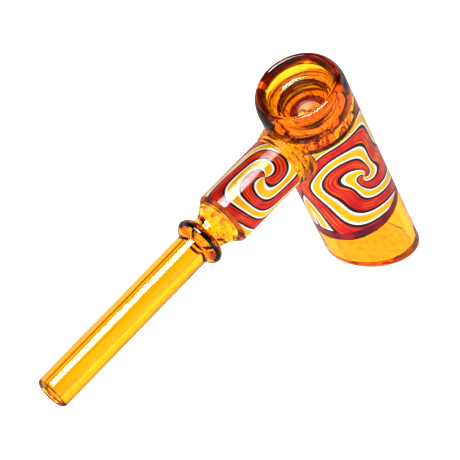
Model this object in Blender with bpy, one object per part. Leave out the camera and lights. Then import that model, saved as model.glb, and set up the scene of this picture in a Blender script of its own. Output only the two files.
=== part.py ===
"""Hammer-style glass bubbler: a leaning head on a flat foot, with an arm and mouthpiece welded to its side.

Every object is one section of glass as it is cut, turned and welded on a glass lathe. The sections are
fused on the real piece, so each meets the next across a hair-line gap. Metres, +Z up. The origin is the
middle of the foot on the table. The head leans towards -X, and the arm runs out to -X and down.
"""
import math

import bmesh
import bpy
from mathutils import Matrix, Vector

GAP = 0.0003                            # hair-line between two sections that touch

# Driving dimensions of the head, along its own leaning axis from the foot's centre
HEAD_LEAN = math.radians(28.16)         # from upright
HEAD_RADIUS = 0.019
HEAD_WALL = 0.0038
HEAD_LENGTH = 0.1105
FOOT_FLOOR = 0.0050                     # thickness of the glass under the water chamber
FOOT_EDGE = 0.0008                      # fire-polished edge round the foot
FLOOR_FILLET = 0.0040
BAND_START = 0.0285                     # clear base below, patterned band above
BAND_END = 0.0884                       # patterned band below, clear shoulder above
LIP_START = 0.1000                      # shoulder and bowl below, rolled lip above
LIP_ROUND = 0.0065                      # height of the lip's rounded top

# Driving dimensions of the bowl
BOWL_RADIUS = 0.0143                    # inside the mouth
BOWL_SEAM_RADIUS = 0.0122               # inside, where the bowl leaves the lip
BOWL_FLOOR = 0.0910
BOWL_FLOOR_RADIUS = 0.0048
BOWL_BOTTOM = 0.0880
BOWL_WALL = 0.0028
BOWL_HOLE_RADIUS = 0.0022

# Driving dimensions of the downstem that hangs in the chamber
DOWNSTEM_RADIUS = 0.0045
DOWNSTEM_BORE = 0.0024
DOWNSTEM_END = 0.0160
SLIT_WIDTH = 0.0012
SLIT_LENGTH = 0.0080
SLIT_COUNT = 4                          # even: each cut crosses the tube and makes two slits

# Driving dimensions of the arm, along its own axis from the head's axis
NECK_FALL = math.radians(25.6)          # slope of the neck below level
STEM_FALL = math.radians(26.5)          # slope of the mouthpiece below level
NECK_RADIUS = 0.0121
NECK_BORE = 0.0086
COLLAR_END = 0.0229
NECK_END = 0.0548
COLLAR_FLARE = 0.0010                   # the weld's swell over the neck, where it meets the head
COLLAR_RIDGE = 0.0005                   # the swell of the weld's outer ridge
RIDGE_HALF_WIDTH = 0.0012
SHOULDER_ROUND = 0.0026                 # where the neck turns in to the reducer
MARIA_PLACE = 0.0688
MARIA_RADIUS = 0.0107
MARIA_HALF_WIDTH = 0.0034
STRIPE_WIDTH = 0.0015
STRIPE_DEPTH = 0.0011
STRIPE_PROUD = 0.0001
STEM_RADIUS = 0.0073
STEM_BORE = 0.0038
STEM_LENGTH = 0.0857                    # from the maria's middle to the mouth end
STEM_END_ROUND = 0.0024

# The arm leaves the head's axis at the height that lays the round of the mouth end on the table
ARM_DROP = (MARIA_PLACE * math.sin(NECK_FALL) + (STEM_LENGTH - STEM_END_ROUND) * math.sin(STEM_FALL)
            + (STEM_RADIUS - STEM_END_ROUND) * math.cos(STEM_FALL) + STEM_END_ROUND)
ARM_HEIGHT = ARM_DROP / math.cos(HEAD_LEAN)

# Facets round each turned section
HEAD_SIDES = 44
ARM_SIDES = 36
BORE_SIDES = 24

AMBER = (0.95, 0.52, 0.03)
DEEP_AMBER = (0.80, 0.30, 0.02)
BAND_RED = (0.70, 0.07, 0.03)
BLACK = (0.01, 0.01, 0.01)


def clear_scene():
    for old in list(bpy.data.objects):
        bpy.data.objects.remove(old, do_unlink=True)


def glass(name, colour, roughness):
    """A Principled material of one tinted glass."""
    material = bpy.data.materials.new(name)
    material.use_nodes = True
    shader = material.node_tree.nodes["Principled BSDF"]
    shader.inputs["Base Color"].default_value = (*colour, 1.0)
    shader.inputs["Roughness"].default_value = roughness
    shader.inputs["Metallic"].default_value = 0.0
    return material


def axis_empty(name, location, lean):
    """An empty whose local +Z is a section's axis, turned by lean about world Y."""
    empty = bpy.data.objects.new(name, None)
    empty.location = location
    empty.rotation_euler = (0.0, lean, 0.0)
    bpy.context.collection.objects.link(empty)
    return empty


def arc(centre, radius, start, end, steps):
    """Points of a circle or ellipse arc in the (radius, axis) plane; angles in degrees."""
    points = []
    for step in range(steps + 1):
        angle = math.radians(start + (end - start) * step / steps)
        points.append((centre[0] + radius[0] * math.cos(angle), centre[1] + radius[1] * math.sin(angle)))
    return points


def ease(start, end, steps):
    """Points on a smooth shoulder between two (radius, axis) points, level along the axis at both ends."""
    points = []
    for step in range(steps + 1):
        share = step / steps
        blend = share * share * (3.0 - 2.0 * share)
        points.append((start[0] + (end[0] - start[0]) * blend, start[1] + (end[1] - start[1]) * share))
    return points


def turned_mesh(profile, sides, closed=True):
    """A bmesh of a profile turned about local Z. An open profile starts and ends on the axis."""
    turned = bmesh.new()
    ring = [turned.verts.new((radius, 0.0, height)) for radius, height in profile]
    edges = [turned.edges.new(pair) for pair in zip(ring, ring[1:])]
    if closed:
        edges.append(turned.edges.new((ring[-1], ring[0])))
    bmesh.ops.spin(turned, geom=ring + edges, cent=(0.0, 0.0, 0.0), axis=(0.0, 0.0, 1.0),
                   angle=math.tau, steps=sides, use_merge=True)
    bmesh.ops.remove_doubles(turned, verts=turned.verts, dist=1e-6)
    bmesh.ops.recalc_face_normals(turned, faces=turned.faces)
    return turned


def place(name, shape, parent, material=None):
    """Make an object of a bmesh and hang it on an axis empty."""
    mesh = bpy.data.meshes.new(name)
    shape.to_mesh(mesh)
    shape.free()
    piece = bpy.data.objects.new(name, mesh)
    piece.parent = parent
    bpy.context.collection.objects.link(piece)
    if material is not None:
        mesh.materials.append(material)
        mesh.shade_smooth()
        mesh.set_sharp_from_angle(angle=math.radians(35.0))
    return piece


def cutter(name, shape, parent):
    """A hidden solid that only cuts."""
    solid = place(name, shape, parent)
    solid.hide_render = True
    solid.display_type = "WIRE"
    return solid


def cut(piece, tool):
    modifier = piece.modifiers.new("Cut " + tool.name, "BOOLEAN")
    modifier.operation = "DIFFERENCE"
    modifier.solver = "EXACT"
    modifier.object = tool


def rod(radius, start, end, sides):
    """A plain turned rod from start to end along local Z."""
    return turned_mesh([(0.0, start), (radius, start), (radius, end), (0.0, end)], sides, closed=False)


def slice_level(shape, parent, level, fillet, segments):
    """Cut a rod of the leaning head off flat at a world height, and round the new edge."""
    place_in_head = Matrix.Rotation(parent.rotation_euler.y, 4, "Y").inverted()
    normal = place_in_head @ Vector((0.0, 0.0, 1.0))
    point = place_in_head @ Vector((0.0, 0.0, level))
    sliced = bmesh.ops.bisect_plane(shape, geom=shape.verts[:] + shape.edges[:] + shape.faces[:],
                                    plane_co=point, plane_no=normal, clear_inner=True)
    rim = [item for item in sliced["geom_cut"] if isinstance(item, bmesh.types.BMEdge)]
    bmesh.ops.edgenet_fill(shape, edges=rim)
    bmesh.ops.bevel(shape, geom=rim, offset=fillet, offset_type="OFFSET", segments=segments,
                    profile=0.5, affect="EDGES")
    bmesh.ops.recalc_face_normals(shape, faces=shape.faces)
    return shape


def base_cup(head, material):
    """Clear closed end of the head: a flat foot sliced on the slant, and the water chamber's floor."""
    overhang = HEAD_RADIUS
    outer = slice_level(rod(HEAD_RADIUS, -overhang, BAND_START, HEAD_SIDES), head, 0.0, FOOT_EDGE, 2)
    cup = place("base_cup", outer, head, material)
    chamber = rod(HEAD_RADIUS - HEAD_WALL, -overhang, BAND_START + overhang, HEAD_SIDES)
    cut(cup, cutter("chamber_floor_cutter", slice_level(chamber, head, FOOT_FLOOR, FLOOR_FILLET, 4), head))
    return cup


def tube_section(name, start, end, head, material):
    """A plain length of the head's tube."""
    inner = HEAD_RADIUS - HEAD_WALL
    profile = [(inner, start), (HEAD_RADIUS, start), (HEAD_RADIUS, end), (inner, end)]
    return place(name, turned_mesh(profile, HEAD_SIDES), head, material)


def bowl_lip(head, material):
    """Rolled rim of the bowl: thick glass with a rounded top and a flared inside."""
    middle = (HEAD_RADIUS + BOWL_RADIUS) / 2.0
    half_width = (HEAD_RADIUS - BOWL_RADIUS) / 2.0
    springing = HEAD_LENGTH - LIP_ROUND
    start = LIP_START + GAP
    crown = arc((middle, springing), (half_width, LIP_ROUND), 0.0, 180.0, 14)
    flare = (BOWL_RADIUS - BOWL_SEAM_RADIUS, springing - start)
    throat = arc((BOWL_SEAM_RADIUS, springing), flare, 0.0, -90.0, 4)
    profile = [(HEAD_RADIUS, start)] + crown + throat[1:]
    return place("bowl_lip", turned_mesh(profile, HEAD_SIDES), head, material)


def push_bowl(head, material):
    """The cup pushed down inside the head, with its draw hole through a thick bottom."""
    centre = (BOWL_FLOOR_RADIUS, LIP_START)
    reach = BOWL_SEAM_RADIUS - BOWL_FLOOR_RADIUS
    inside = arc(centre, (reach, LIP_START - BOWL_FLOOR), 0.0, -90.0, 8)
    outside = arc(centre, (reach + BOWL_WALL, LIP_START - BOWL_BOTTOM), -90.0, 0.0, 8)
    profile = inside + [(BOWL_HOLE_RADIUS, BOWL_FLOOR), (BOWL_HOLE_RADIUS, BOWL_BOTTOM)] + outside
    return place("push_bowl", turned_mesh(profile, HEAD_SIDES), head, material)


def downstem(head, material):
    """The tube that takes the draw from the bowl down to the water, slit at its open end."""
    start = BOWL_BOTTOM - GAP
    profile = [(DOWNSTEM_BORE, DOWNSTEM_END), (DOWNSTEM_RADIUS, DOWNSTEM_END),
               (DOWNSTEM_RADIUS, start), (DOWNSTEM_BORE, start)]
    tube = place("downstem", turned_mesh(profile, BORE_SIDES), head, material)
    size = Matrix.Diagonal((4.0 * DOWNSTEM_RADIUS, SLIT_WIDTH, 2.0 * SLIT_LENGTH, 1.0))
    move = Matrix.Translation((0.0, 0.0, DOWNSTEM_END))
    for index in range(SLIT_COUNT // 2):
        turn = Matrix.Rotation(math.tau * (index + 0.5) / SLIT_COUNT, 4, "Z")
        slit = bmesh.new()
        bmesh.ops.create_cube(slit, size=1.0, matrix=move @ turn @ size)
        cut(tube, cutter("slit_cutter_%d" % index, slit, head))
    return tube


def neck_hole(head):
    """The draw hole through the head's wall into the neck."""
    return cutter("neck_hole_cutter", rod(NECK_BORE, 0.0, 2.0 * HEAD_RADIUS, ARM_SIDES), head)


def weld_collar(neck, head, material):
    """Clear ridged weld between the head and the neck, saddled over the head's side."""
    buried = HEAD_RADIUS * 0.6
    swell = NECK_RADIUS + COLLAR_FLARE
    waist = NECK_RADIUS - COLLAR_RIDGE
    ridge_place = COLLAR_END - RIDGE_HALF_WIDTH - GAP
    flare = ease((swell, HEAD_RADIUS), (waist, ridge_place - RIDGE_HALF_WIDTH), 3)
    ridge = arc((waist, ridge_place), (2.0 * COLLAR_RIDGE, RIDGE_HALF_WIDTH), -90.0, 90.0, 6)
    profile = [(NECK_BORE, buried), (swell, buried)] + flare + ridge[1:]
    profile += [(waist, COLLAR_END), (NECK_BORE, COLLAR_END)]
    collar = place("weld_collar", turned_mesh(profile, ARM_SIDES), neck, material)
    saddle = rod(HEAD_RADIUS + GAP, 0.0, HEAD_LENGTH * 1.2, HEAD_SIDES)
    cut(collar, cutter("saddle_cutter", saddle, head))
    return collar


def neck_band(neck, material):
    """Patterned tube between the head and the mouthpiece."""
    start = COLLAR_END + GAP
    profile = [(NECK_BORE, start), (NECK_RADIUS, start), (NECK_RADIUS, NECK_END), (NECK_BORE, NECK_END)]
    return place("neck_band", turned_mesh(profile, ARM_SIDES), neck, material)


def reducer(neck, material):
    """Clear shoulder that draws the neck down to the mouthpiece's size, outside and in."""
    start = NECK_END + GAP
    end = MARIA_PLACE - MARIA_HALF_WIDTH - GAP
    turn_in = (NECK_RADIUS - SHOULDER_ROUND, start + SHOULDER_ROUND / 2.0)
    shoulder = arc(turn_in, (SHOULDER_ROUND, SHOULDER_ROUND), 0.0, 70.0, 5)
    drawn = ease(shoulder[-1], (STEM_RADIUS, (start + 3.0 * end) / 4.0), 6)
    outside = [(NECK_RADIUS, start)] + shoulder + drawn[1:] + [(STEM_RADIUS, end)]
    inside = ease((STEM_BORE, end), (NECK_BORE, start), 7)
    return place("reducer", turned_mesh(outside + inside, ARM_SIDES), neck, material)


def maria(stem, material):
    """Bead round the tube, grooved at its crest for the stripe."""
    groove_half = STRIPE_WIDTH / 2.0 + GAP
    groove_floor = MARIA_RADIUS - STRIPE_DEPTH - GAP
    crest = math.degrees(math.asin(groove_half / MARIA_HALF_WIDTH))
    centre = (STEM_RADIUS, 0.0)
    bulge = (MARIA_RADIUS - STEM_RADIUS, MARIA_HALF_WIDTH)
    near = arc(centre, bulge, -90.0, -crest, 6)
    far = arc(centre, bulge, crest, 90.0, 6)
    profile = [(STEM_BORE, -MARIA_HALF_WIDTH)] + near
    profile += [(groove_floor, -groove_half), (groove_floor, groove_half)]
    profile += far + [(STEM_BORE, MARIA_HALF_WIDTH)]
    return place("maria", turned_mesh(profile, ARM_SIDES), stem, material)


def maria_stripe(stem, material):
    """Black thread of glass wound on the maria's crest."""
    half = STRIPE_WIDTH / 2.0
    floor = MARIA_RADIUS - STRIPE_DEPTH
    crown = arc((MARIA_RADIUS - STRIPE_PROUD, 0.0), (2.0 * STRIPE_PROUD, half), -90.0, 90.0, 4)
    profile = [(floor, -half)] + crown + [(floor, half)]
    return place("maria_stripe", turned_mesh(profile, ARM_SIDES), stem, material)


def stem(stem_axis, material):
    """Clear mouthpiece tube with a fire-polished end."""
    start = MARIA_HALF_WIDTH + GAP
    lip = STEM_RADIUS - STEM_BORE - STEM_END_ROUND
    outer = arc((STEM_RADIUS - STEM_END_ROUND, STEM_LENGTH - STEM_END_ROUND),
                (STEM_END_ROUND, STEM_END_ROUND), 0.0, 90.0, 6)
    inner = arc((STEM_BORE + lip, STEM_LENGTH - lip), (lip, lip), 90.0, 180.0, 4)
    profile = [(STEM_BORE, start), (STEM_RADIUS, start)] + outer + inner[1:]
    return place("stem", turned_mesh(profile, ARM_SIDES), stem_axis, material)


def build():
    clear_scene()
    amber = glass("amber_glass", AMBER, 0.03)
    deep_amber = glass("deep_amber_glass", DEEP_AMBER, 0.03)
    linework = glass("linework_glass", BAND_RED, 0.05)
    black = glass("black_glass", BLACK, 0.08)

    head = axis_empty("head_axis", (0.0, 0.0, 0.0), -HEAD_LEAN)
    arm_root = Vector((-math.sin(HEAD_LEAN), 0.0, math.cos(HEAD_LEAN))) * ARM_HEIGHT
    neck = axis_empty("neck_axis", arm_root, -(math.pi / 2.0 + NECK_FALL))
    along = Vector((-math.cos(NECK_FALL), 0.0, -math.sin(NECK_FALL)))
    stem_axis = axis_empty("stem_axis", arm_root + along * MARIA_PLACE, -(math.pi / 2.0 + STEM_FALL))

    base_cup(head, amber)
    band = tube_section("head_band", BAND_START + GAP, BAND_END, head, linework)
    shoulder = tube_section("shoulder", BAND_END + GAP, LIP_START, head, amber)
    hole = neck_hole(neck)
    cut(band, hole)
    cut(shoulder, hole)
    bowl_lip(head, deep_amber)
    push_bowl(head, amber)
    downstem(head, amber)
    weld_collar(neck, head, amber)
    neck_band(neck, linework)
    reducer(neck, amber)
    maria(stem_axis, amber)
    maria_stripe(stem_axis, black)
    stem(stem_axis, amber)


build()
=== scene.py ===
import math

import bmesh
import bpy
import numpy as np
from mathutils import Matrix, Vector


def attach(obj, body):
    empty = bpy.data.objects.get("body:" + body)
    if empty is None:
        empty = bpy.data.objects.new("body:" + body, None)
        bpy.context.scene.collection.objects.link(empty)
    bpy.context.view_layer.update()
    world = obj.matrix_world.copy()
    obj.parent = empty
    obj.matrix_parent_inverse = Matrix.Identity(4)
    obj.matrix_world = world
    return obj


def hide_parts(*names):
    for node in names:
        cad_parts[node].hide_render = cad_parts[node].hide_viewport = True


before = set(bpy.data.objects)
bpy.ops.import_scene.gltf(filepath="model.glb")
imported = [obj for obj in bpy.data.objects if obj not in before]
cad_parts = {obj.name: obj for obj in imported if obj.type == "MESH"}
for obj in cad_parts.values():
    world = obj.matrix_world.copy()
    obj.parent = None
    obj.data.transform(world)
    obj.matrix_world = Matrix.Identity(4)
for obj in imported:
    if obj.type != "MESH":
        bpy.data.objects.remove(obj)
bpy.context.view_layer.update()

MM = 1000.0                  # millimetres in a metre; materials are laid out in millimetres
SIDES = 160                  # facets round a turned section
ARM_SIDES = 128              # facets round the reducer, maria and mouthpiece
SMOOTH = 35.0                # edges sharper than this many degrees stay sharp
CEILING = 0.08               # how bright the studio is overhead, against the white table
UNDER = 0.38                 # how bright the table looks in reflections
TABLE_GLOW = 1.05            # how much light the table itself gives


# ------------------------------------------------------------------ axes and sections of the frame

def cloud(node):
    """World positions of a node's vertices."""
    return np.array([v.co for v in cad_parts[node].data.vertices], float)


def middle(node):
    """Middle of a turned node, on its axis in the plane y = 0."""
    mean = cloud(node).mean(0)
    return Vector((mean[0], 0.0, mean[2]))


def axis_matrix(origin, along):
    """A frame at origin whose local +Z is along and whose local Y is world Y."""
    across = Vector((0.0, 1.0, 0.0))
    turn = Matrix((across.cross(along), across, along)).transposed()
    return Matrix.Translation(origin) @ turn.to_4x4()


def crossing(a, u, b, v):
    """Where the line from a along u meets the line from b along v, in the plane y = 0."""
    s = ((b.x - a.x) * v.z - (b.z - a.z) * v.x) / (u.x * v.z - u.z * v.x)
    return a + u * s


def span(node, place):
    """(start, end, inner radius, outer radius) of a turned node along its local +Z."""
    inverse = np.array(place.inverted())
    local = cloud(node) @ inverse[:3, :3].T + inverse[:3, 3]
    radius = np.hypot(local[:, 0], local[:, 1])
    return local[:, 2].min(), local[:, 2].max(), radius.min(), radius.max()


FOOT = Vector((0.0, 0.0, 0.0))
HEAD_UP = middle("bowl_lip").normalized()
NECK_OUT = (middle("maria") - middle("neck_band")).normalized()
STEM_OUT = (middle("stem") - middle("maria")).normalized()
HEAD = axis_matrix(FOOT, HEAD_UP)
NECK = axis_matrix(crossing(FOOT, HEAD_UP, middle("neck_band"), NECK_OUT), NECK_OUT)
STEM = axis_matrix(middle("maria"), STEM_OUT)

BAND_START, BAND_END, _, HEAD_RADIUS = span("head_band", HEAD)
_, LIP_TOP, _, _ = span("bowl_lip", HEAD)
BOWL_BOTTOM, _, BOWL_HOLE, _ = span("push_bowl", HEAD)
DOWNSTEM_END, _, DOWNSTEM_BORE, DOWNSTEM_RADIUS = span("downstem", HEAD)
_, COLLAR_OUT, NECK_BORE, COLLAR_RADIUS = span("weld_collar", NECK)
NECK_START, NECK_END, _, NECK_RADIUS = span("neck_band", NECK)
REDUCER_START, REDUCER_END, _, _ = span("reducer", NECK)
MARIA_BACK, MARIA_FRONT, STEM_BORE, _ = span("maria", STEM)
STRIPE_BACK, STRIPE_FRONT, _, STRIPE_RADIUS = span("maria_stripe", STEM)
_, STEM_TIP, _, STEM_RADIUS = span("stem", STEM)
MARIA_PLACE = (middle("maria") - NECK.translation).length

# Sizes inside the sections, in metres
HEAD_BORE = 0.0152           # inner radius of the head's tube
SEAM = 0.0003                # gap between the head's linework and the clear glass above and below it
FLOOR = 0.0024               # glass under the water chamber, measured straight up
FLOOR_FILLET = 0.0007        # where the chamber's floor meets its wall
FOOT_EDGE = 0.0011           # rounding of the foot's edge
LIP_CREST = HEAD_RADIUS - 0.0030    # where the rolled lip is highest
LIP_CREST_TOP = LIP_TOP - 0.0014
LIP_ROUND = 0.0068           # how far the lip's outside rounds over
MOUTH = 0.0140               # radius of the mouth's inner edge
MOUTH_TOP = LIP_CREST_TOP - 0.0030
FUNNEL_TOP = MOUTH_TOP - 0.0004
BOWL_FLOOR = 0.0910
BOWL_FLOOR_RADIUS = 0.0048
HOLE_ROUND = 0.0008          # rounding of the draw hole's edge
PIT_OUTSIDE = 0.0130         # outside of the bowl where it meets the chamber's roof
EYE = MOUTH_TOP - 0.0056     # top edge of the bowl's pit
EYE_RADIUS = 0.0099
EYE_EDGE = 0.0006
ROOF = 0.0932                # top of the chamber round the bowl
ROOF_ROUND = 0.0010
SLIT_HALF = 0.0006           # half the width of the downstem's slits
SLIT_TOP = DOWNSTEM_END + 0.0080
COLLAR_WAIST = NECK_RADIUS - 0.0003     # outer radius of the weld at its far end
COLLAR_RIDGE = 0.00035       # height of the weld's ridges
COLLAR_RIDGES = 2.6          # how many there are
NECK_ROUND = 0.0022          # how the neck's mouth end rounds over on to the reducer
NECK_SWEEP = 70.0            # and how far round, in degrees
NECK_TIP = NECK_ROUND * math.sin(math.radians(NECK_SWEEP))
RIPPLE = 0.00015             # height of the reducer's twisted ripples
BEND_LENGTH = 0.003          # over which the arm bends, inside the maria
TIP_ROUND = 0.0024           # outer rounding of the mouth end
THREAD_PROUD = 0.0001        # how far the maria's thread stands out of its crest
THREAD_ROUND = 0.0002        # height of the thread's rounded outside
THREAD_DEPTH = 0.0008        # depth of its rounded root


# ------------------------------------------------------------------ mesh tools

def piece(name, verts, faces, place, smooth):
    """An object of vertices and faces given in a section's own axes, baked into world coordinates."""
    mesh = bpy.data.meshes.new(name)
    mesh.from_pydata([tuple(v) for v in verts], [], faces)
    mesh.update()
    shape = bmesh.new()
    shape.from_mesh(mesh)
    bmesh.ops.remove_doubles(shape, verts=shape.verts, dist=1e-7)
    bmesh.ops.recalc_face_normals(shape, faces=shape.faces)
    shape.to_mesh(mesh)
    shape.free()
    mesh.transform(place)
    made = bpy.data.objects.new(name, mesh)
    bpy.context.collection.objects.link(made)
    finish_mesh(made, smooth)
    return made


def finish_mesh(made, smooth=SMOOTH):
    """Shade a mesh smooth, but for its sharp edges."""
    made.data.shade_smooth()
    made.data.set_sharp_from_angle(angle=math.radians(smooth))


def rings(name, circles, place, closed, sides=SIDES, smooth=SMOOTH):
    """A skin over a list of rings. Each circle gives the points of one ring for a list of angles.
    closed joins the last ring to the first; otherwise both ends are shut on their middle points."""
    angles = [math.tau * k / sides for k in range(sides)]
    verts = [Vector(circle(a)) for circle in circles for a in angles]
    faces = []
    count = len(circles)
    for i in range(count if closed else count - 1):
        j = (i + 1) % count
        for k in range(sides):
            n = (k + 1) % sides
            faces.append((i * sides + k, i * sides + n, j * sides + n, j * sides + k))
    if not closed:
        for i in (0, count - 1):
            centre = sum((verts[i * sides + k] for k in range(sides)), Vector()) / sides
            verts.append(centre)
            tip = len(verts) - 1
            faces += [(tip, i * sides + k, i * sides + (k + 1) % sides) for k in range(sides)]
    return piece(name, verts, faces, place, smooth)


def turned(name, profile, place, closed=True, sides=SIDES, smooth=SMOOTH):
    """A profile of (radius, height) points turned about local Z."""
    circles = [lambda a, r=r, h=h: (r * math.cos(a), r * math.sin(a), h) for r, h in profile]
    return rings(name, circles, place, closed, sides, smooth)


def arc(centre, radius, start, end, steps):
    """Points of a circle or ellipse arc in the (radius, height) plane; angles in degrees."""
    turn = [math.radians(start + (end - start) * k / steps) for k in range(steps + 1)]
    return [(centre[0] + radius[0] * math.cos(a), centre[1] + radius[1] * math.sin(a)) for a in turn]


def line(start, end, steps):
    """Points from start to just before end."""
    return [(start[0] + (end[0] - start[0]) * k / steps, start[1] + (end[1] - start[1]) * k / steps)
            for k in range(steps)]


def ease(start, end, steps):
    """Points on a smooth shoulder, level along the axis at both ends."""
    made = []
    for k in range(steps + 1):
        t = k / steps
        s = t * t * (3.0 - 2.0 * t)
        made.append((start[0] + (end[0] - start[0]) * s, start[1] + (end[1] - start[1]) * t))
    return made


def combine(made, tool, operation):
    """Apply a boolean with tool to made, and remove tool."""
    modifier = made.modifiers.new("combine", "BOOLEAN")
    modifier.operation = operation
    modifier.solver = "EXACT"
    modifier.object = tool
    bpy.context.view_layer.update()
    graph = bpy.context.evaluated_depsgraph_get()
    mesh = bpy.data.meshes.new_from_object(made.evaluated_get(graph))
    made.modifiers.clear()
    made.data = mesh
    bpy.data.objects.remove(tool)
    finish_mesh(made)


def rod(name, radius, start, end, place):
    """A solid cylinder along local Z."""
    return turned(name, line((radius, start), (radius, end), 24) + [(radius, end)], place, False)


# ------------------------------------------------------------------ pieces

def base_glass():
    """Clear closed end of the head: flat foot sliced on the slant, chamber floor parallel to it."""
    fall = HEAD_UP.x / HEAD_UP.z          # the foot's plane lies at local height x * fall
    top = BAND_START - SEAM
    lift = FLOOR / HEAD_UP.z

    def ring(radius, offset, share=0.0):
        """A ring at offset above the foot's plane, or share of the way from there to the section's top."""
        def at(a):
            x, y = radius * math.cos(a), radius * math.sin(a)
            low = x * fall + offset
            return (x, y, low + (top - low) * share)
        return at

    circles = [ring(HEAD_RADIUS * share, 0.0) for share in (0.05, 0.3, 0.6, 0.85)]
    circles += [ring(r, h) for r, h in arc((HEAD_RADIUS - FOOT_EDGE, FOOT_EDGE), (FOOT_EDGE, FOOT_EDGE),
                                           -90.0, 0.0, 8)]
    circles += [ring(HEAD_RADIUS, FOOT_EDGE, share / 8) for share in range(1, 9)]
    circles += [ring(HEAD_BORE, lift + FLOOR_FILLET, share / 8) for share in range(8, 0, -1)]
    circles += [ring(r, h) for r, h in arc((HEAD_BORE - FLOOR_FILLET, lift + FLOOR_FILLET),
                                           (FLOOR_FILLET, FLOOR_FILLET), 0.0, -90.0, 10)]
    circles += [ring((HEAD_BORE - FLOOR_FILLET) * share, lift) for share in (0.75, 0.4, 0.05)]
    return rings("base_glass", circles, HEAD, False)


def head_linework():
    """The head's patterned tube, open to the neck."""
    profile = (line((HEAD_BORE, BAND_START), (HEAD_RADIUS, BAND_START), 2)
               + line((HEAD_RADIUS, BAND_START), (HEAD_RADIUS, BAND_END), 24)
               + line((HEAD_RADIUS, BAND_END), (HEAD_BORE, BAND_END), 2)
               + line((HEAD_BORE, BAND_END), (HEAD_BORE, BAND_START), 24))
    made = turned("head_linework", profile, HEAD)
    combine(made, rod("neck_way", NECK_BORE, 0.0, 2.0 * HEAD_RADIUS, NECK), "DIFFERENCE")
    return made


def upper_glass():
    """Shoulder, rolled lip, push bowl, downstem and weld collar, all one run of clear glass."""
    start = BAND_END + SEAM
    springing = LIP_CREST_TOP - LIP_ROUND
    eye_outside = EYE_RADIUS + EYE_EDGE
    eye_bottom = EYE - EYE_EDGE
    profile = line((HEAD_RADIUS, start), (HEAD_RADIUS, springing), 12)
    profile += arc((LIP_CREST, springing), (HEAD_RADIUS - LIP_CREST, LIP_ROUND), 0.0, 90.0, 20)
    profile += arc((LIP_CREST, MOUTH_TOP), (LIP_CREST - MOUTH, LIP_CREST_TOP - MOUTH_TOP),
                   90.0, 176.0, 16)[1:]
    profile += arc((eye_outside, FUNNEL_TOP), (MOUTH - EYE_RADIUS - EYE_EDGE, FUNNEL_TOP - EYE),
                   0.0, -86.0, 18)
    profile += arc((eye_outside, eye_bottom), (EYE_EDGE, EYE_EDGE), 100.0, 180.0, 6)
    profile += arc((BOWL_FLOOR_RADIUS, eye_bottom), (EYE_RADIUS - BOWL_FLOOR_RADIUS, eye_bottom - BOWL_FLOOR),
                   0.0, -50.0, 24)[1:]
    profile += arc((BOWL_HOLE + HOLE_ROUND, BOWL_FLOOR - HOLE_ROUND), (HOLE_ROUND, HOLE_ROUND),
                   90.0, 180.0, 5)
    profile += line((DOWNSTEM_BORE, BOWL_BOTTOM), (DOWNSTEM_BORE, DOWNSTEM_END), 16)
    profile += line((DOWNSTEM_BORE, DOWNSTEM_END), (DOWNSTEM_RADIUS, DOWNSTEM_END), 1)
    profile += line((DOWNSTEM_RADIUS, DOWNSTEM_END), (DOWNSTEM_RADIUS, BOWL_BOTTOM), 16)
    profile += arc((BOWL_FLOOR_RADIUS, ROOF), (PIT_OUTSIDE - BOWL_FLOOR_RADIUS, ROOF - BOWL_BOTTOM),
                   -88.0, -8.0, 22)
    profile += arc((HEAD_BORE - ROOF_ROUND, ROOF), (ROOF_ROUND, ROOF_ROUND), 150.0, 0.0, 10)
    profile += line((HEAD_BORE, ROOF), (HEAD_BORE, start), 6)[1:] + [(HEAD_BORE, start)]
    made = turned("upper_glass", profile, HEAD)
    combine(made, collar(), "UNION")
    combine(made, rod("neck_way", NECK_BORE, 0.0, COLLAR_OUT + 0.01, NECK), "DIFFERENCE")
    for turn in (45.0, 135.0):
        combine(made, slit(math.radians(turn)), "DIFFERENCE")
    return made


def slit(turn):
    """A thin block that cuts through the downstem's end, turned about the head's axis."""
    size = Matrix.Diagonal((4.0 * DOWNSTEM_RADIUS, 2.0 * SLIT_HALF, 2.0 * (SLIT_TOP - DOWNSTEM_END), 1.0))
    place = Matrix.Translation((0.0, 0.0, DOWNSTEM_END)) @ Matrix.Rotation(turn, 4, "Z") @ size
    block = bmesh.new()
    bmesh.ops.create_cube(block, size=1.0, matrix=place)
    mesh = bpy.data.meshes.new("slit")
    block.to_mesh(mesh)
    block.free()
    mesh.transform(HEAD)
    tool = bpy.data.objects.new("slit", mesh)
    bpy.context.collection.objects.link(tool)
    return tool


def collar():
    """Ridged weld over the neck's root, kept just outside the head's tube."""
    root = HEAD_RADIUS * 0.9
    inner = NECK_BORE - 0.001
    profile = [(inner, HEAD_RADIUS * 0.6), (COLLAR_RADIUS, HEAD_RADIUS * 0.6)]
    for k in range(65):
        t = k / 64
        swell = COLLAR_RADIUS + 0.0002 - (COLLAR_RADIUS - COLLAR_WAIST) * min(1.0, t * 1.15)
        ridge = COLLAR_RIDGE * math.cos(math.tau * (t * COLLAR_RIDGES + 0.1))
        profile.append((swell + ridge, root + (COLLAR_OUT - root) * t))
    profile.append((inner, COLLAR_OUT))
    made = turned("collar", profile, NECK)
    combine(made, rod("saddle", HEAD_RADIUS + 0.00008, 0.0, BAND_END + 0.0004, HEAD), "DIFFERENCE")
    combine(made, rod("chamber", HEAD_RADIUS - 0.001, BAND_END - 0.01, LIP_TOP + 0.02, HEAD), "DIFFERENCE")
    return made


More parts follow.
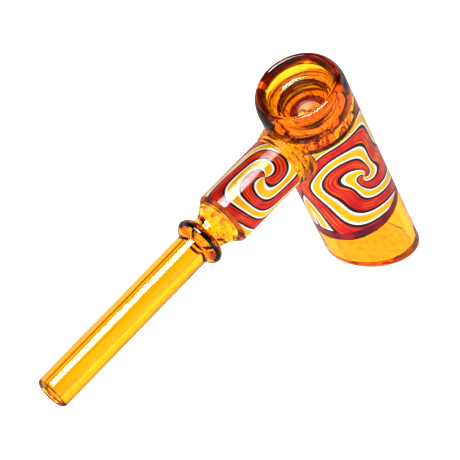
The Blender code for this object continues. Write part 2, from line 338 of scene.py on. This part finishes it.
def neck_linework():
    """The neck's tube, its mouth end rounded over on to the reducer."""
    profile = (line((NECK_BORE, NECK_START), (NECK_RADIUS, NECK_START), 2)
               + line((NECK_RADIUS, NECK_START), (NECK_RADIUS, NECK_END), 16)
               + arc((NECK_RADIUS - NECK_ROUND, NECK_END), (NECK_ROUND, NECK_ROUND), 0.0, NECK_SWEEP, 8)
               + [(NECK_BORE, NECK_END + NECK_TIP)]
               + line((NECK_BORE, NECK_END), (NECK_BORE, NECK_START), 16))
    return turned("neck_linework", profile, NECK)


def arm_glass():
    """Reducer, maria and mouthpiece as one run of glass along the arm's slightly bent middle line."""
    bend = (NECK.inverted() @ STEM).to_3x3() @ Vector((0.0, 0.0, 1.0))
    start = REDUCER_START + NECK_TIP
    rim = NECK_RADIUS - NECK_ROUND * (1.0 - math.cos(math.radians(NECK_SWEEP)))
    drawn = [(rim + (STEM_RADIUS - rim) * math.sin(math.pi / 2.0 * k / 20) ** 1.1,
              start + (REDUCER_END - start) * 0.9 * k / 20) for k in range(21)]
    bead_start = MARIA_PLACE + MARIA_BACK
    bead_end = MARIA_PLACE + MARIA_FRONT
    tip = MARIA_PLACE + STEM_TIP
    bead = arc((STEM_RADIUS, MARIA_PLACE), (STRIPE_RADIUS - THREAD_PROUD - STEM_RADIUS, MARIA_FRONT),
               -90.0, 90.0, 36)
    inner_round = STEM_RADIUS - STEM_BORE - TIP_ROUND
    outside = drawn[:-1] + line(drawn[-1], (STEM_RADIUS, bead_start), 4)
    outside += bead + line((STEM_RADIUS, bead_end), (STEM_RADIUS, tip - TIP_ROUND), 40)[1:]
    outside += arc((STEM_RADIUS - TIP_ROUND, tip - TIP_ROUND), (TIP_ROUND, TIP_ROUND), 0.0, 90.0, 14)
    inside = arc((STEM_BORE + inner_round, tip - inner_round), (inner_round, inner_round),
                 90.0, 180.0, 8)[1:]
    inside += line((STEM_BORE, tip - inner_round), (STEM_BORE, REDUCER_END), 40)[1:]
    inside += ease((STEM_BORE, REDUCER_END), (NECK_BORE, start), 20)

    def ring(r, s):
        """A ring of radius r at s along the middle line, which bends inside the maria."""
        before = Vector((0.0, 0.0, s))
        after = Vector((0.0, 0.0, MARIA_PLACE)) + bend * (s - MARIA_PLACE)
        share = min(1.0, max(0.0, (s - MARIA_PLACE) / BEND_LENGTH + 0.5))
        centre = before.lerp(after, share)
        side = Vector((0.0, 1.0, 0.0)).cross(Vector((0.0, 0.0, 1.0)).lerp(bend, share)).normalized()
        rise = max(0.0, min(1.0, (s - start) / 0.001))
        fall = max(0.0, min(1.0, (REDUCER_END - s) / 0.003))
        depth = RIPPLE * (rise * fall) if r > STEM_BORE * 1.5 else 0.0      # the narrow bore stays smooth

        def at(a):
            wavy = r + depth * (math.sin(5.0 * a + 700.0 * s) + 0.4 * math.sin(9.0 * a - 500.0 * s + 1.0))
            return centre + side * (wavy * math.cos(a)) + Vector((0.0, wavy * math.sin(a), 0.0))
        return at

    return rings("arm_glass", [ring(r, s) for r, s in outside + inside], NECK, True, ARM_SIDES)


def maria_ring():
    """Black thread round the maria's crest, almost wholly sunk into it."""
    half = (STRIPE_FRONT - STRIPE_BACK) / 2.0
    middle_line = (STRIPE_RADIUS - THREAD_ROUND, 0.0)
    crown = arc(middle_line, (THREAD_ROUND, half), -90.0, 90.0, 10)
    root = arc(middle_line, (THREAD_DEPTH, half), 90.0, 270.0, 10)
    return turned("maria_ring", crown + root[1:-1], STEM, True, ARM_SIDES, 60.0)


# ------------------------------------------------------------------ materials

class Field:
    """A number at every point of a surface, worked out by Math nodes."""

    def __init__(self, tree, socket):
        self.tree = tree
        self.socket = socket

    def make(self, operation, *others):
        """The result of a Math node on this field and others, which are fields or plain numbers."""
        node = self.tree.nodes.new("ShaderNodeMath")
        node.operation = operation
        for index, value in enumerate((self, *others)):
            if isinstance(value, Field):
                self.tree.links.new(value.socket, node.inputs[index])
            else:
                node.inputs[index].default_value = value
        return Field(self.tree, node.outputs[0])

    def __add__(self, other):
        return self.make("ADD", other)

    def __sub__(self, other):
        return self.make("SUBTRACT", other)

    def __mul__(self, other):
        return self.make("MULTIPLY", other)

    def __truediv__(self, other):
        return self.make("DIVIDE", other)

    def squared(self):
        return self.make("MULTIPLY", self)

    def bell(self, width):
        """exp(-(self / width)^2)"""
        return ((self / width).squared() * -1.0).make("EXPONENT")

    def between(self, low, high):
        """0 below low, 1 above high, smooth in between; low may be above high."""
        node = self.tree.nodes.new("ShaderNodeMapRange")
        node.interpolation_type = "SMOOTHSTEP"
        self.tree.links.new(self.socket, node.inputs["Value"])
        node.inputs["From Min"].default_value = min(low, high)
        node.inputs["From Max"].default_value = max(low, high)
        node.inputs["To Min"].default_value = 0.0 if low < high else 1.0
        node.inputs["To Max"].default_value = 1.0 if low < high else 0.0
        return Field(self.tree, node.outputs["Result"])


def colour(red, green, blue):
    """A linear RGBA colour of an 8-bit sRGB one."""
    made = [c / 255.0 for c in (red, green, blue)]
    made = [c / 12.92 if c <= 0.04045 else ((c + 0.055) / 1.055) ** 2.4 for c in made]
    return (*made, 1.0)


def grey(level):
    """A linear RGBA grey."""
    return (level, level, level, 1.0)


def new_material(name):
    """A new material, its node tree and its Principled shader."""
    material = bpy.data.materials.new(name)
    material.use_nodes = True
    tree = material.node_tree
    return material, tree, tree.nodes["Principled BSDF"]


def local_mm(tree, place):
    """x, y and z along a section's own axes, in millimetres."""
    inverse = place.inverted()
    where = tree.nodes.new("ShaderNodeTexCoord")
    turn = tree.nodes.new("ShaderNodeMapping")
    turn.inputs["Location"].default_value = inverse.translation
    turn.inputs["Rotation"].default_value = inverse.to_euler()
    parts = tree.nodes.new("ShaderNodeSeparateXYZ")
    tree.links.new(where.outputs["Object"], turn.inputs["Vector"])
    tree.links.new(turn.outputs["Vector"], parts.inputs["Vector"])
    return [Field(tree, parts.outputs[k]) * MM for k in range(3)]


def from_axis(x, y):
    """Distance from a section's axis."""
    return (x.squared() + y.squared()).make("SQRT")


def from_bearing(turn, degrees):
    """How far round an angle lies from a bearing, either way, in radians."""
    return (turn - math.radians(degrees)).make("WRAP", math.pi, -math.pi).make("ABSOLUTE")


def vector(tree, *fields):
    """A vector of up to three fields; those left out are 0."""
    node = tree.nodes.new("ShaderNodeCombineXYZ")
    for index, value in enumerate(fields):
        tree.links.new(value.socket, node.inputs[index])
    return node.outputs["Vector"]


def noise(tree, place, scale=1.0, detail=3.0, roughness=0.5, distortion=0.0):
    """Fractal noise at a place, about 0.5 in the middle."""
    node = tree.nodes.new("ShaderNodeTexNoise")
    node.inputs["Scale"].default_value = scale
    node.inputs["Detail"].default_value = detail
    node.inputs["Roughness"].default_value = roughness
    node.inputs["Distortion"].default_value = distortion
    tree.links.new(place, node.inputs["Vector"])
    return Field(tree, node.outputs["Fac"])


def ramp(tree, factor, stops):
    """A colour ramp through (position, colour) stops."""
    node = tree.nodes.new("ShaderNodeValToRGB")
    node.color_ramp.elements[0].position, node.color_ramp.elements[0].color = stops[0]
    node.color_ramp.elements[1].position, node.color_ramp.elements[1].color = stops[-1]
    for position, tint in stops[1:-1]:
        node.color_ramp.elements.new(position).color = tint
    tree.links.new(factor.socket, node.inputs["Fac"])
    return node.outputs["Color"]


def mix(tree, factor, first, second):
    """first where factor is 0 and second where it is 1; each is a colour or a colour socket."""
    node = tree.nodes.new("ShaderNodeMix")
    node.data_type = "RGBA"
    tree.links.new(factor.socket, node.inputs["Factor"])
    for value, socket in ((first, node.inputs[6]), (second, node.inputs[7])):
        if isinstance(value, tuple):
            socket.default_value = value
        else:
            tree.links.new(value, socket)
    return node.outputs[2]


# Two-armed swirls of linework, in millimetres: x round the tube, y along it. An arm makes half a turn each
# pitch. core turns the middle; lean, oval, inner_oval and square bend the arms; weld pushes them away from
# the neck's root, and top flattens them at the head band's upper edge.
HEAD_SWIRL = dict(centre=(-29.984, 61.739), start=0.7768, pitch=20.11, core=-0.4723, core_size=4.526,
                  lean=(0.1811, -0.3556), oval=(-0.0247, 0.7115),
                  inner_oval=(0.0815, 0.1113), inner_size=8.233, square=(0.2627, 0.2881),
                  weld=(-59.69, 83.6), weld_size=15.331, weld_push=2.7505, top=0.4327)
NECK_SWIRL = dict(centre=(-8.497, 34.655), start=0.0636, pitch=8.718, core=0.3381, core_size=4.140,
                  lean=(0.1877, -0.1368), oval=(0.5313, -0.3232),
                  inner_oval=(-0.029, 0.121), inner_size=8.860, square=(0.2367, 0.3436))
NECK_CELL = 19.0             # half the width of a swirl's cell round the neck; the next one is mirrored
SWIRL_REACH = 30.0           # distance at which lean, oval and square come to their full number of turns
TOP_FADE = 5.0               # distance over which top fades, down from the upper edge
YELLOW, WHITE, BLACK = 0.128, 0.208, 0.300      # where each line ends, from an arm's middle
LINE_EDGE = 0.006            # half the width of the blend between two lines
MIDWAY = 0.5                 # halfway between two arms
BASE_LINE = 30.1             # height along the head where its arms close off, at the mirror's seam
BASE_LINE_TILT = 0.11        # and how fast it rises round the tube from there
BASE_LINE_FADE = 14.0        # millimetres below it that count as one turn
MAROON_TOP = 35.4            # top of the maroon band under them, less its streaks
PAINTED_WALL_GLOW = 0.50             # strength of the glow painted on a linework tube's inside, standing in for light let through its wall
POLISHED_DEPTH = 0.00004     # height of the linework's unevenness, in metres
DRAWN_DEPTH = 0.00022        # height of the clear glass's unevenness, in metres

# Painted shade on the clear glass, where refraction looks dark: a wrap on the lip and a line along the
# mouthpiece, in millimetres along a section and degrees round it
LIP_PAINTED_SHADE = 4.0               # how far down the lip the painted maroon shade reaches on its far side
LIP_PAINTED_SHADE_MORE = 4.0          # and how much further towards its ends
PAINTED_SHADE_GAP, PAINTED_SHADE_HALF = -118.0, 71.0      # middle and half width of the gap in the painted shade, on the side that faces the camera
PAINTED_SHADE_SPLIT = 117.0           # where a clear streak crosses the painted shade
PAINTED_DARK_LINE_AT = 8.0                # where the painted dark line runs along the mouthpiece, standing in for its bore's dark refraction

AMBER_BODY = (0.985, 0.80, 0.08)        # what passes through the clear glass's body
PAINTED_DARK_LINE = (0.10, 0.018, 0.008, 1.0)        # tints of what is drawn on it, the first a painted dark line; one pass tints by the square root
WAVY_LINE = (0.14, 0.020, 0.005, 1.0)
FLECK = (0.30, 0.035, 0.012, 1.0)
BEAD_BACK = (0.12, 0.008, 0.008, 1.0)
TIP_RIM = (0.10, 0.016, 0.010, 1.0)
PIT_RED = (0.01, 0.0004, 0.0004, 1.0)


def swirl(x, y, s):
    """How far a point lies from the middle of the nearest yellow arm, from 0 to MIDWAY."""
    x0 = x - s["centre"][0]
    y0 = y - s["centre"][1]
    rho2 = x0.squared() + y0.squared() + 1e-6
    rho = rho2.make("SQRT")
    cos2 = (x0.squared() - y0.squared()) / rho2
    sin2 = x0 * y0 * 2.0 / rho2
    cos4 = cos2.squared() * 2.0 - 1.0
    sin4 = sin2 * cos2 * 2.0
    inner = (rho / s["inner_size"]).squared() * rho.bell(s["inner_size"]) * math.e
    turns = rho / s["pitch"] + s["start"] + rho.bell(s["core_size"]) * s["core"]
    turns = turns + x0 * (s["lean"][0] / SWIRL_REACH) + y0 * (s["lean"][1] / SWIRL_REACH)
    turns = turns + rho / SWIRL_REACH * (cos2 * s["oval"][0] + sin2 * s["oval"][1])
    turns = turns + inner * (cos2 * s["inner_oval"][0] + sin2 * s["inner_oval"][1])
    turns = turns + rho2 / SWIRL_REACH ** 2 * (cos4 * s["square"][0] + sin4 * s["square"][1])
    if "weld" in s:
        weld = from_axis(x - s["weld"][0], y - s["weld"][1])
        turns = turns + weld.bell(s["weld_size"]) * s["weld_push"]
        turns = turns + ((y - MM * BAND_END) / TOP_FADE).make("EXPONENT") * s["top"]
    turns = turns - y0.make("ARCTAN2", x0) / math.pi
    return turns.make("PINGPONG", MIDWAY)


def linework(name, place, radius, fold, pattern, border):
    """Opaque yellow, white, black and streaked red lines. fold lays millimetres round the tube on the
    pattern, and border changes the pattern where it ends. polished() finishes the shader."""
    material, tree, shader = new_material(name)
    x, y, z = local_mm(tree, place)
    angle = y.make("ARCTAN2", x)
    around = fold(angle * (MM * radius))
    away = border(swirl(around, z, pattern), around, z)
    grain = noise(tree, vector(tree, away * 26.0, around / 14.0, z / 14.0), roughness=0.65)
    clouds = noise(tree, vector(tree, x, y, z), scale=0.09, detail=2.0)
    red = ramp(tree, grain * 1.15 + clouds * 0.45 - 0.31,
               ((0.28, colour(150, 12, 20)), (0.42, colour(206, 26, 34)), (0.54, colour(216, 50, 32)),
                (0.62, colour(232, 96, 28)), (0.74, colour(244, 140, 28))))
    black = mix(tree, grain.between(0.45, 0.75), colour(16, 8, 10), colour(92, 48, 40))
    yellow = mix(tree, clouds.between(0.35, 0.65), colour(240, 178, 14), colour(246, 194, 22))
    drawn = mix(tree, away.between(YELLOW - LINE_EDGE, YELLOW + LINE_EDGE), yellow, colour(246, 240, 240))
    drawn = mix(tree, away.between(WHITE - LINE_EDGE, WHITE + LINE_EDGE), drawn, black)
    drawn = mix(tree, away.between(BLACK - LINE_EDGE, BLACK + LINE_EDGE * 2.0), drawn, red)
    return material, tree, shader, drawn, (x, y, z, around, grain, clouds)


def uneven(tree, shader, height, depth):
    """Ripples of hand-drawn glass, depth metres high."""
    bump = tree.nodes.new("ShaderNodeBump")
    bump.inputs["Strength"].default_value = 1.0
    bump.inputs["Distance"].default_value = depth
    tree.links.new(height.socket, bump.inputs["Height"])
    tree.links.new(bump.outputs["Normal"], shader.inputs["Normal"])


def polished(tree, shader, drawn, height):
    """An opaque shader of a drawn colour under a smooth clear skin."""
    tree.links.new(drawn, shader.inputs["Base Color"])
    uneven(tree, shader, height, POLISHED_DEPTH)
    shader.inputs["Roughness"].default_value = 0.03
    shader.inputs["Specular IOR Level"].default_value = 0.5
    shader.inputs["IOR"].default_value = 1.5


def clear_glass(name, place, tint, streak_tint, density, wrap=None, fine=3.0):
    """Clear amber glass with faint streaks drawn along a section, fine millimetres apart, and a slightly
    uneven skin. wrap adds what is drawn on it in other colours."""
    material, tree, shader = new_material(name)
    x, y, z = local_mm(tree, place)
    streaks = noise(tree, vector(tree, x / fine, y / fine, z / 45.0))
    drawn = mix(tree, streaks.between(0.48, 0.68), (*tint, 1.0), (*streak_tint, 1.0))
    if wrap:
        drawn = wrap(tree, x, y, z, drawn, shader)
    tree.links.new(drawn, shader.inputs["Base Color"])
    uneven(tree, shader, noise(tree, vector(tree, x / 7.0, y / 7.0, z / 16.0), detail=1.0), DRAWN_DEPTH)
    shader.inputs["Transmission Weight"].default_value = 1.0
    shader.inputs["Roughness"].default_value = 0.01
    shader.inputs["IOR"].default_value = 1.47
    volume = tree.nodes.new("ShaderNodeVolumeAbsorption")
    volume.inputs["Color"].default_value = (*AMBER_BODY, 1.0)
    volume.inputs["Density"].default_value = density
    tree.links.new(volume.outputs["Volume"], tree.nodes["Material Output"].inputs["Volume"])
    return material


def inner_wall(x, y, radius):
    """1 on the inner side of a linework tube, 0 on its outer side."""
    return from_axis(x, y).between(radius - 0.1, radius - 0.4)


def wall_colours_and_painted_glow(tree, x, y, z, outer, shader):
    """Warm translucent streaks on the inside of a linework tube, with a painted glow on them standing in for
    light let through from outside.
    """
    wave = noise(tree, vector(tree, x / 2.0, y / 2.0, z / 16.0), roughness=0.6, distortion=0.8)
    made = ramp(tree, wave, ((0.34, colour(150, 70, 34)), (0.42, colour(232, 146, 66)),
                             (0.48, colour(255, 222, 140)), (0.64, colour(255, 244, 200))))
    # painted glow: the inside emits its streaks' colour in place of light let through the wall
    tree.links.new(mix(tree, inner_wall(x, y, outer), grey(0.0), made), shader.inputs["Emission Color"])
    shader.inputs["Emission Strength"].default_value = PAINTED_WALL_GLOW
    return made


def head_linework_material():
    """The head's linework, with a maroon band under it. The far side mirrors the near side."""
    def border(away, around, along):
        """Close the arms off where they meet the clear base, on a slightly tilted line."""
        closed = (along + around * BASE_LINE_TILT - BASE_LINE) / -BASE_LINE_FADE + YELLOW
        return away.make("SMOOTH_MAX", closed, 0.04).make("MINIMUM", MIDWAY)

    material, tree, shader, drawn, (x, y, z, around, grain, _) = linework(
        "head_linework", HEAD, HEAD_RADIUS, lambda r: r.make("ABSOLUTE") * -1.0, HEAD_SWIRL, border)
    streak = noise(tree, vector(tree, around / 9.0, z / 3.0))
    maroon = ramp(tree, streak, ((0.30, colour(70, 18, 30)), (0.50, colour(120, 22, 34)),
                                 (0.62, colour(168, 28, 28))))
    edge = z + streak * 3.0
    drawn = mix(tree, edge.between(MAROON_TOP, MAROON_TOP - 0.6), drawn, maroon)
    outer = MM * HEAD_RADIUS
    # the tube's inside: its streaks, with a painted glow
    drawn = mix(tree, inner_wall(x, y, outer), drawn, wall_colours_and_painted_glow(tree, x, y, z, outer, shader))
    polished(tree, shader, drawn, grain)
    return material


def neck_linework_material():
    """The neck's linework, worn to brown and maroon glass where it runs out on the reducer."""
    left = NECK_SWIRL["centre"][0] - NECK_CELL
    material, tree, shader, drawn, (x, y, z, _, grain, clouds) = linework(
        "neck_linework", NECK, NECK_RADIUS,
        lambda r: (r - left).make("PINGPONG", 2.0 * NECK_CELL) + left,
        NECK_SWIRL, lambda away, around, along: away)
    worn = (z + grain * 1.6).between(MM * NECK_END + 0.9, MM * NECK_END + 1.5)
    brown = mix(tree, clouds.between(0.4, 0.6), colour(96, 18, 14), colour(206, 96, 16))
    drawn = mix(tree, worn, drawn, brown)
    outer = MM * NECK_RADIUS - 1.6       # well inside the rounded mouth end
    # the tube's inside: its streaks, with a painted glow
    drawn = mix(tree, inner_wall(x, y, outer), drawn, wall_colours_and_painted_glow(tree, x, y, z, outer, shader))
    polished(tree, shader, drawn, grain)
    return material


def black_material():
    """Black glass with faint brown cords wound into it."""
    material, tree, shader = new_material("black_glass")
    x, y, z = local_mm(tree, STEM)
    angle = y.make("ARCTAN2", x)
    cords = noise(tree, vector(tree, angle * 2.0, z * 1.6, x * 0.1), roughness=0.6)
    drawn = ramp(tree, cords, ((0.35, colour(8, 6, 8)), (0.58, colour(22, 14, 14)),
                               (0.72, colour(64, 30, 16))))
    polished(tree, shader, drawn, cords)
    return material


def head_cords_and_painted_shade(tree, x, y, z, drawn, shader):
    """Painted maroon shade round the rolled lip, left open on the side that faces the camera; wavy brown
    cords down the shoulder and red rings in the pit.
    """
    radius = from_axis(x, y)
    turn = y.make("ARCTAN2", x)
    crest, mouth = MM * LIP_CREST_TOP, MM * MOUTH
    cords = noise(tree, vector(tree, turn * 1.1, radius / 1.6, z / 2.2), roughness=0.6, distortion=0.6)

    # the lip's painted shade: maroon where refraction looks dark, with a gap on the camera's side
    maroon = ramp(tree, cords, ((0.42, (0.008, 0.0003, 0.0008, 1.0)), (0.56, (0.022, 0.0004, 0.0012, 1.0)),
                                (0.64, (0.12, 0.004, 0.003, 1.0)), (0.76, (0.90, 0.34, 0.03, 1.0))))
    away = from_bearing(turn, PAINTED_SHADE_GAP)
    deeper = away.between(math.radians(150.0), math.radians(110.0)) * LIP_PAINTED_SHADE_MORE
    height = (z + cords * 3.0 + deeper).between(crest - LIP_PAINTED_SHADE, crest - LIP_PAINTED_SHADE + 0.6)
    shaded = (away + cords * 0.5).between(math.radians(PAINTED_SHADE_HALF), math.radians(PAINTED_SHADE_HALF + 8.0))
    outside = radius.between(mouth + 0.5, mouth + 0.9)
    outside = outside.make("MAXIMUM", z.between(MM * MOUTH_TOP - 1.1, MM * MOUTH_TOP - 0.7))
    shaded = shaded * from_bearing(turn, PAINTED_SHADE_SPLIT).between(math.radians(4.0), math.radians(7.0))

    # the shoulder's thin wavy lines
    wavy = noise(tree, vector(tree, turn * 2.2, z / 18.0, radius / 40.0), detail=1.0, distortion=1.0)
    thin = ((wavy * 9.0).make("FRACT") - 0.5).make("ABSOLUTE").between(0.20, 0.08)
    low = z.between(crest - 6.0, crest - 9.0)
    shell = (radius - MM * HEAD_RADIUS).make("ABSOLUTE").between(0.5, 0.3)
    drawn = mix(tree, thin * low * shell * shaded.between(0.9, 0.1), drawn, WAVY_LINE)
    drawn = mix(tree, height * shaded * outside, drawn, maroon)

    # the pit's rings, and its used, dull inside
    inside = z.between(MM * BOWL_FLOOR - 1.0, MM * BOWL_FLOOR - 0.5)
    pit = radius.between(MM * EYE_RADIUS + 0.7, MM * EYE_RADIUS + 0.4) * inside
    ringed = ramp(tree, (radius + cords * 1.2) / mouth,
                  ((0.30, (1.0, 0.62, 0.06, 1.0)), (0.40, (1.0, 0.50, 0.05, 1.0)),
                   (0.43, PIT_RED), (0.47, (0.07, 0.002, 0.002, 1.0)),
                   (0.60, (0.04, 0.001, 0.001, 1.0)), (0.64, (0.70, 0.26, 0.03, 1.0)),
                   (0.70, (0.70, 0.22, 0.03, 1.0)), (0.735, PIT_RED)))
    used = radius.between(7.0, 5.5) * inside * z.between(MM * EYE, MM * EYE - 1.0)
    tree.links.new((used * 0.50 + 0.01).socket, shader.inputs["Roughness"])
    return mix(tree, pit, drawn, ringed)


def arm_marks_and_painted_line(tree, x, y, z, drawn, shader):
    """A thin painted dark line along the mouthpiece, in place of the dark refraction at its bore's edge;
    flecks on the reducer, and dark glass behind the bead's crest and round the mouth end."""
    angle = y.make("ARCTAN2", x)
    radius = from_axis(x, y)
    crest = MM * MARIA_PLACE
    bead_back, bead_front = MM * (MARIA_PLACE + MARIA_BACK), MM * (MARIA_PLACE + MARIA_FRONT)
    skin = radius.between(MM * STEM_BORE + 1.0, MM * STEM_BORE + 1.4)

    # painted dark line: shade drawn where the bore's refraction looks dark
    wander = noise(tree, vector(tree, z / 30.0), detail=1.0) * 0.10
    painted_dark_line = (angle + wander - math.radians(PAINTED_DARK_LINE_AT)).make("ABSOLUTE").between(0.085, 0.05)
    drawn = mix(tree, painted_dark_line * skin * z.between(bead_front + 0.2, bead_front + 1.0), drawn, PAINTED_DARK_LINE)

    flecks = noise(tree, vector(tree, angle * 2.4, z / 2.6, radius / 3.0), roughness=0.6, distortion=1.0)
    head_side = z.between(crest + 1.0, crest - 0.5)
    drawn = mix(tree, flecks.between(0.59, 0.66) * skin * head_side, drawn, FLECK)

    behind = z.between(crest - 0.2, crest - 0.7) * z.between(bead_back - 0.4, bead_back)
    bead = radius.between(MM * STEM_RADIUS + 0.6, MM * STEM_RADIUS + 1.2)
    drawn = mix(tree, behind * bead * flecks.between(0.40, 0.52), drawn, BEAD_BACK)

    tip = MM * (MARIA_PLACE + STEM_TIP)
    rim = (z + wander * 4.0 - (tip - 0.9)).make("ABSOLUTE").between(0.45, 0.25)
    return mix(tree, rim * flecks.between(0.36, 0.46), drawn, TIP_RIM)


BASE_AMBER = clear_glass("base_amber_glass", HEAD, tint=(1.0, 0.80, 0.07), streak_tint=(0.98, 0.60, 0.02),
                         density=220.0)
HEAD_AMBER = clear_glass("head_amber_glass", HEAD, tint=(1.0, 0.76, 0.09), streak_tint=(0.97, 0.66, 0.05),
                         density=180.0, wrap=head_cords_and_painted_shade)
ARM_AMBER = clear_glass("arm_amber_glass", NECK, tint=(1.0, 0.73, 0.06), streak_tint=(0.96, 0.54, 0.02),
                        density=220.0, wrap=arm_marks_and_painted_line, fine=1.7)

for made, nodes, material, slot in (
        (base_glass(), ("base_cup",), BASE_AMBER, "amber_glass"),
        (head_linework(), ("head_band",), head_linework_material(), "linework_glass"),
        (upper_glass(), ("shoulder", "bowl_lip", "push_bowl", "downstem", "weld_collar"), HEAD_AMBER,
         "deep_amber_glass"),
        (neck_linework(), ("neck_band",), neck_linework_material(), "linework_glass"),
        (arm_glass(), ("reducer", "maria", "stem"), ARM_AMBER, "amber_glass"),
        (maria_ring(), ("maria_stripe",), black_material(), "black_glass")):
    made.data.materials.clear()
    made.data.materials.append(material)
    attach(made, "root")
    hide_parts(*nodes)


# ------------------------------------------------------------------ floor, light and camera

def build_stage():
    """White table that shines by itself, a studio dark overhead, and the view's settings."""
    bpy.ops.mesh.primitive_plane_add(size=8.0, location=(0.0, 0.0, -0.0002))
    floor = bpy.context.object
    floor.name = "floor"
    material, _, shader = new_material("floor_paper")
    shader.inputs["Base Color"].default_value = grey(0.6)
    shader.inputs["Roughness"].default_value = 0.9
    shader.inputs["Emission Color"].default_value = grey(1.0)
    shader.inputs["Emission Strength"].default_value = TABLE_GLOW
    floor.data.materials.append(material)
    floor.visible_glossy = False

    world = bpy.data.worlds.new("studio")
    world.use_nodes = True
    tree = world.node_tree
    where = tree.nodes.new("ShaderNodeTexCoord")
    parts = tree.nodes.new("ShaderNodeSeparateXYZ")
    tree.links.new(where.outputs["Generated"], parts.inputs["Vector"])
    height = Field(tree, parts.outputs["Z"])
    tint = mix(tree, height.between(0.15, 0.60), grey(1.0), grey(CEILING))
    tint = mix(tree, height.between(0.05, -0.10), tint, grey(UNDER))
    tree.links.new(tint, tree.nodes["Background"].inputs["Color"])
    scene = bpy.context.scene
    scene.world = world
    scene.view_settings.view_transform = "Standard"
    scene.view_settings.look = "Medium High Contrast"
    scene.cycles.max_bounces = 32
    scene.cycles.transmission_bounces = 32
    scene.cycles.glossy_bounces = 16


def softbox(name, centre, size, radiance, glossy, diffuse):
    """A rectangular light over the table, facing straight down."""
    data = bpy.data.lights.new(name, "AREA")
    data.shape = "RECTANGLE"
    data.size, data.size_y = size
    data.energy = radiance * size[0] * size[1] * math.pi
    light = bpy.data.objects.new(name, data)
    light.location = centre
    light.visible_glossy = glossy
    light.visible_transmission = False
    light.visible_diffuse = diffuse
    bpy.context.collection.objects.link(light)


def build_lights():
    """Two softboxes seen in the highlights, and a large one that only lights opaque surfaces."""
    softbox("key_gloss", (-0.41, -0.04, 0.86), size=(0.48, 0.42), radiance=20.0, glossy=True, diffuse=False)
    softbox("key_strip", (-0.41, 0.255, 0.86), size=(0.48, 0.07), radiance=26.0, glossy=True, diffuse=False)
    softbox("key_soft", (-0.30, -0.10, 0.90), size=(1.0, 1.0), radiance=1.6, glossy=False, diffuse=True)


def build_camera():
    """The camera that was fitted to the photo's outlines."""
    azimuth, elevation, roll = math.radians(-43.93), math.radians(33.73), math.radians(2.10)
    distance, right_shift, up_shift = 1.0460, 0.06120, -0.00469
    back = Vector((math.sin(azimuth) * math.cos(elevation), -math.cos(azimuth) * math.cos(elevation),
                   math.sin(elevation)))
    level = Vector((math.cos(azimuth), math.sin(azimuth), 0.0))
    upright = back.cross(level)
    right = level * math.cos(roll) + upright * math.sin(roll)
    up = upright * math.cos(roll) - level * math.sin(roll)
    data = bpy.data.cameras.new("camera")
    data.lens = 191.0
    data.sensor_width = 36.0
    data.clip_start = 0.05
    camera = bpy.data.objects.new("camera", data)
    turn = Matrix((right, up, back)).transposed().to_4x4()
    camera.matrix_world = Matrix.Translation(back * distance - right * right_shift - up * up_shift) @ turn
    bpy.context.collection.objects.link(camera)
    bpy.context.scene.camera = camera


build_stage()
build_lights()
build_camera()
bpy.context.view_layer.update()
